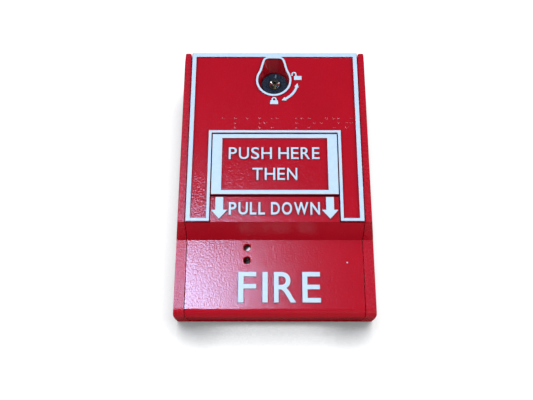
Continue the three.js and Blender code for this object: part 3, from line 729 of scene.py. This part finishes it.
def raised_word(name, word, face, body, across, up, bolder, gap=LETTER_GAP):
    """Words in plain capitals that fill the place given by two pairs of X and Z."""
    left, right = across
    low, high = up
    steps = [LETTER_WIDTHS[letter] for letter in word]
    gaps = [0 if " " in pair else gap for pair in zip(word, word[1:])]
    unit = (right - left) / (sum(steps) + sum(gaps))
    work = bmesh.new()
    x = left
    for letter, step, after in zip(word, steps, [*gaps, 0]):
        if letter != " ":
            capital = raised_capital(letter, x, step * unit, low, high - low, bolder)
            work.from_mesh(capital)
            bpy.data.meshes.remove(capital)
        x += (step + after) * unit
    mesh = bpy.data.meshes.new(name)
    work.to_mesh(mesh)
    work.free()
    mesh.transform(Matrix.Translation((0, face * MM, 0)))
    colour_raised(mesh)
    piece = add_object(name, mesh, body)
    return piece


def lettering():
    plate = front_of("push_plate")
    handle = front_of("pull_handle")
    across, up = (-22.0, 21.4), (7.75, 13.8)
    raised_word("plate_word_upper", "PUSH HERE", plate, "push_plate", across, up, bolder=0.08)
    across, up = (-10.6, 10.6), (-2.8, 3.3)
    raised_word("plate_word_lower", "THEN", plate, "push_plate", across, up, bolder=0.08)
    across, up = (-21.4, 20.9), (-19.8, -13.7)
    raised_word("handle_word", "PULL DOWN", handle, "handle", across, up, bolder=0.18)
    across, up = (-17.0, 21.2), (-58.8, -44.6)
    raised_word("panel_word", "FIRE", PANEL_FACE, "handle", across, up, bolder=0.18, gap=0.21)


# ---------------------------------------------------------------- tactile dots


def dome(work, x, z, face):
    """One low round dot, standing on the cover."""
    rings, sides = 4, 12
    turns = [2 * math.pi * k / sides for k in range(sides)]
    rows = []
    for ring in range(rings):
        angle = math.pi / 2 * ring / rings
        radius = DOT_RADIUS * math.cos(angle)
        y = face - DOT_HEIGHT * math.sin(angle)
        places = [Vector((x + radius * math.cos(t), y, z + radius * math.sin(t))) for t in turns]
        rows.append([work.verts.new(place * MM) for place in places])
    crown = work.verts.new(Vector((x, face - DOT_HEIGHT, z)) * MM)
    for lower, upper in zip(rows, rows[1:]):
        for k in range(sides):
            n = (k + 1) % sides
            work.faces.new((lower[k], lower[n], upper[n], upper[k]))
    for k in range(sides):
        work.faces.new((rows[-1][k], rows[-1][(k + 1) % sides], crown))
    work.faces.new(list(reversed(rows[0])))


def tactile_dots():
    work = bmesh.new()
    face = front_of("front_cover") + DOT_SINK
    for index, cell in enumerate(DOT_CELLS):
        for dot in cell:
            column, row = divmod(int(dot) - 1, 3)
            x = DOTS_LEFT + index * CELL_PITCH + column * DOT_PITCH
            dome(work, x, DOTS_TOP - row * DOT_PITCH, face)
    mesh = bpy.data.meshes.new("tactile_dots")
    bmesh.ops.recalc_face_normals(work, faces=work.faces)
    for f in work.faces:
        f.smooth = len(f.verts) < 5  # all but the round base
    work.to_mesh(mesh)
    work.free()
    mesh.materials.append(RED_DOTS_PAINTED_SHADE)
    dots = add_object("tactile_dots", mesh, "cover")


# ---------------------------------------------------------------- small details


def box_mesh(name, low, high, edge):
    """A block with rounded edges, from two opposite corners."""
    work = bmesh.new()
    size = Vector(high) - Vector(low)
    middle = (Vector(high) + Vector(low)) / 2
    place = Matrix.Translation(middle * MM) @ Matrix.Diagonal((*(size * MM), 1))
    bmesh.ops.create_cube(work, size=1, matrix=place)
    bmesh.ops.bevel(work, geom=work.edges, offset=edge * MM, segments=2, profile=0.5, affect="EDGES")
    mesh = bpy.data.meshes.new(name)
    work.to_mesh(mesh)
    work.free()
    return mesh


def keyway_wafers():
    """The brass wafers that show in the keyway, each a little further out than the one above."""
    lock_z = middle_of("lock_plug").z
    face = front_of("lock_plug")
    near, far = WAFER_DEPTHS
    for index, (foot, head) in enumerate(WAFER_SPANS):
        low = (-WAFER_HALF_WIDTH, face + near - WAFER_STEP * index, lock_z + foot)
        high = (WAFER_HALF_WIDTH, face + far - WAFER_STEP * index, lock_z + head)
        mesh = box_mesh(f"keyway_wafer_{index + 1}", low, high, edge=0.1)
        mesh.materials.append(BRASS)
        wafer = add_object(mesh.name, mesh, "lock_plug")


def index_line():
    """The fine upright line on the lock's face above the plug."""
    lock_z = middle_of("lock_barrel").z
    face = front_of("lock_barrel")
    left, right = INDEX_LINE_SIDES
    foot, head = INDEX_LINE_HEIGHTS
    low = (left, face - INDEX_LINE_PROUD, lock_z + foot)
    high = (right, face + SHALLOW_SINK, lock_z + head)
    mesh = box_mesh("index_line", low, high, edge=0.03)
    mesh.materials.append(STEEL)
    line = add_object("index_line", mesh, "cover")


def gate_mark_painted_glint():
    """The speck that the moulding gate leaves on the lower panel, white as a painted glint."""
    left, right = GATE_MARK_SIDES
    foot, head = GATE_MARK_HEIGHTS
    low = (left, PANEL_FACE - SHALLOW_SINK, foot)
    high = (right, PANEL_FACE + SHALLOW_SINK, head)
    mesh = box_mesh("gate_mark_painted_glint", low, high, edge=0.08)
    # White foil as a painted glint on the gate mark.
    mesh.materials.append(FOIL)
    mark = add_object("gate_mark_painted_glint", mesh, "handle")


# ---------------------------------------------------------------- camera, light and backdrop


def camera():
    data = bpy.data.cameras.new("camera")
    data.lens = CAMERA_LENS
    data.sensor_width = 36
    data.shift_x = CAMERA_SHIFT
    data.clip_start = 0.01
    eye = bpy.data.objects.new("camera", data)
    eye.location = Vector(CAMERA_PLACE) * MM
    eye.rotation_euler = (math.radians(90 + CAMERA_PITCH), math.radians(CAMERA_ROLL), 0)
    bpy.context.scene.collection.objects.link(eye)
    bpy.context.scene.camera = eye


def area_light(name, place, target, width, height, radiance, colour=(1, 1, 1)):
    """A rectangular light of this radiance, aimed at a target, with lengths in metres."""
    data = bpy.data.lights.new(name, "AREA")
    data.shape = "RECTANGLE"
    data.size = width
    data.size_y = height
    data.energy = radiance * math.pi * width * height
    data.color = colour
    lamp = bpy.data.objects.new(name, data)
    lamp.location = place
    lamp.rotation_euler = (Vector(target) - Vector(place)).to_track_quat("-Z", "Y").to_euler()
    bpy.context.scene.collection.objects.link(lamp)
    return lamp


def lights():
    """Soft lights from both sides, below and behind, and a bluish window that shows in the gloss."""
    area_light("key", (-1.5, -1.1, 0.6), (0, 0, 0), 1.1, 1.1, 7.6)
    area_light("fill", (1.5, -0.9, 0.2), (0, 0, 0), 0.9, 0.9, 8.5)
    low = area_light("low", (0.2, -0.45, -0.55), (0, 0, -0.03), 0.5, 0.5, 2.4)
    low.visible_glossy = False
    area_light("window", (-0.33, -1.5, 0.13), (-0.33, 0, 0.13), 0.38, 0.365, 23, (0.43, 0.64, 1.0))
    area_light("window_side", (-0.03, -1.5, 0.21), (-0.03, 0, 0.21), 0.22, 0.46, 0.9, (0.43, 0.6, 1.0))
    area_light("rear", (0.2, 1.2, 0.5), (0, 0, 0), 1.0, 1.0, 2.0)


def world():
    place = bpy.data.worlds.new("studio")
    place.use_nodes = True
    tree = place.node_tree
    background = tree.nodes["Background"]
    background.inputs["Color"].default_value = (0.9, 0.92, 0.95, 1)
    rays = tree.nodes.new("ShaderNodeLightPath")
    strength = tree.nodes.new("ShaderNodeMapRange")
    strength.inputs["To Min"].default_value = SURROUNDINGS_LIGHT
    strength.inputs["To Max"].default_value = 1.0
    tree.links.new(rays.outputs["Is Camera Ray"], strength.inputs["Value"])
    tree.links.new(strength.outputs["Result"], background.inputs["Strength"])
    bpy.context.scene.world = place


def backdrop():
    """The pale surface behind the object. Seen from behind it is clear."""
    material = bpy.data.materials.new("backdrop")
    material.use_nodes = True
    tree = material.node_tree
    tree.nodes.clear()
    output = tree.nodes.new("ShaderNodeOutputMaterial")
    diffuse = tree.nodes.new("ShaderNodeBsdfDiffuse")
    diffuse.inputs["Color"].default_value = (BACKDROP_GREY, BACKDROP_GREY, BACKDROP_GREY, 1)
    nearness = tree.nodes.new("ShaderNodeAmbientOcclusion")
    nearness.samples = 16
    nearness.inputs["Distance"].default_value = SHADOW_REACH * MM
    towards_light = tree.nodes.new("ShaderNodeCombineXYZ")
    for axis, share in zip("XYZ", SHADOW_SIDE):
        towards_light.inputs[axis].default_value = share
    tree.links.new(towards_light.outputs["Vector"], nearness.inputs["Normal"])
    glow = tree.nodes.new("ShaderNodeEmission")
    both = tree.nodes.new("ShaderNodeAddShader")
    clear = tree.nodes.new("ShaderNodeBsdfTransparent")
    side = tree.nodes.new("ShaderNodeNewGeometry")
    pick = tree.nodes.new("ShaderNodeMixShader")
    rays = tree.nodes.new("ShaderNodeLightPath")
    shade = spread(tree, nearness.outputs["AO"], SHADOW_BRIGHTNESS, 1.0, SHADOW_FULL, SHADOW_NONE)
    dark = tree.nodes.new("ShaderNodeEmission")
    dark.inputs["Strength"].default_value = 0
    dimmed = tree.nodes.new("ShaderNodeMixShader")
    dimming = spread(tree, rays.outputs["Is Glossy Ray"], 0.0, 1 - BACKDROP_IN_GLOSS, 0.0, 1.0)
    tree.links.new(shade, glow.inputs["Strength"])
    tree.links.new(diffuse.outputs[0], both.inputs[0])
    tree.links.new(glow.outputs[0], both.inputs[1])
    tree.links.new(dimming, dimmed.inputs[0])
    tree.links.new(both.outputs[0], dimmed.inputs[1])
    tree.links.new(dark.outputs[0], dimmed.inputs[2])
    tree.links.new(side.outputs["Backfacing"], pick.inputs[0])
    tree.links.new(dimmed.outputs[0], pick.inputs[1])
    tree.links.new(clear.outputs[0], pick.inputs[2])
    tree.links.new(pick.outputs[0], output.inputs["Surface"])
    mesh = bpy.data.meshes.new("backdrop")
    square = rectangle(-BACKDROP_HALF_WIDTH, BACKDROP_HALF_WIDTH, *BACKDROP_HEIGHTS)
    corners = [Vector((x, BACKDROP_GAP, z)) * MM for x, z in square]
    mesh.from_pydata(corners, [], [(0, 1, 2, 3)])
    mesh.materials.append(material)
    plane = add_object("backdrop", mesh)
    plane.visible_shadow = False


# ---------------------------------------------------------------- everything together

camera()
world()
lights()
backdrop()
paint_nodes()
rounded_copy("housing")
paint_pocket_shade(rounded_copy("front_cover"))
rounded_copy("pull_handle")
rounded_copy("push_plate")
cover_border()
plate_frame()
pocket_rim()
lock_symbols()
handle_arrows()
lettering()
tactile_dots()
keyway_wafers()
index_line()
gate_mark_painted_glint()

view = bpy.context.scene.view_settings
view.view_transform = "Standard"
view.look = "None"
